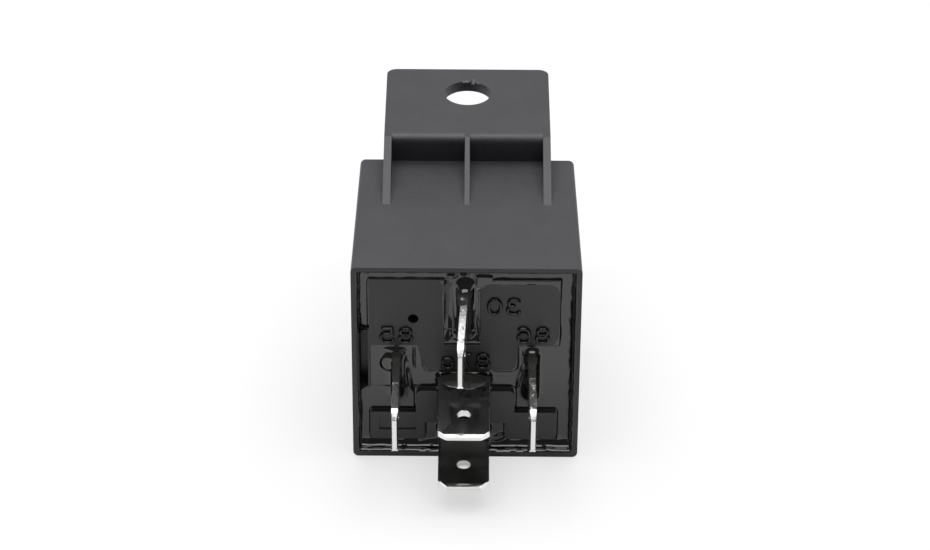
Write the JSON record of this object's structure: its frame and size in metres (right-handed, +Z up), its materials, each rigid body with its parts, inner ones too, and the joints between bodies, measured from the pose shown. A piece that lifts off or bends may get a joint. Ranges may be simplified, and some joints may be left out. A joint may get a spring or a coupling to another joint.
{
  "type": "automotive relay",
  "caption": "Cube-shaped changeover relay with a moulded cover and mounting tab, flat blade terminals, and a coil, yoke and hinged armature inside.",
  "frame": {"origin": "middle of the footprint, on the plane of the cover face beside terminal 87 that the relay lies on", "axes": "+Z up from that face, +Y from the blade tips to the end of the mounting tab, +X towards terminal 86"},
  "size_m": [0.0282, 0.0538, 0.0318],
  "materials": {
    "cover": "fine matt grain, moulded black",
    "base": "satin, moulded black",
    "sealant": "cured black resin, glossy",
    "tin": "bright tin plate",
    "iron": "zinc-plated soft iron",
    "bobbin": "natural glass-filled nylon",
    "copper": "enamelled copper wire",
    "spring": "beryllium copper strip",
    "silver": "silver alloy",
    "solder": "soft solder",
    "rivet": "plated steel"
  },
  "bodies": {
    "housing": {"cover": "cover", "base": "base", "sealant": "sealant", "terminal_30": "tin", "terminal_85": "tin", "terminal_86": "tin", "terminal_87": "tin", "terminal_87a": "tin", "yoke": "iron", "core": "iron", "bobbin": "bobbin", "winding": "copper", "coil_lead_85": "copper", "coil_lead_86": "copper", "solder_85": "solder", "solder_86": "solder", "yoke_rivets": "rivet", "contact_no": "silver", "contact_nc": "silver"},
    "armature": {"armature": "iron", "contact_spring": "spring", "armature_rivets": "rivet", "moving_contact": "silver"}
  },
  "joints": [
    {"name": "armature_hinge", "type": "hinge", "parent": "housing", "child": "armature", "pos_m": [0, 0.00442, 0.023], "axis": [-1, 0, 0], "range_deg": [0, 2.4], "stiffness_Nm_per_rad": 0.01, "springref_deg": -22.92, "deforming": ["contact_spring"]}
  ]
}
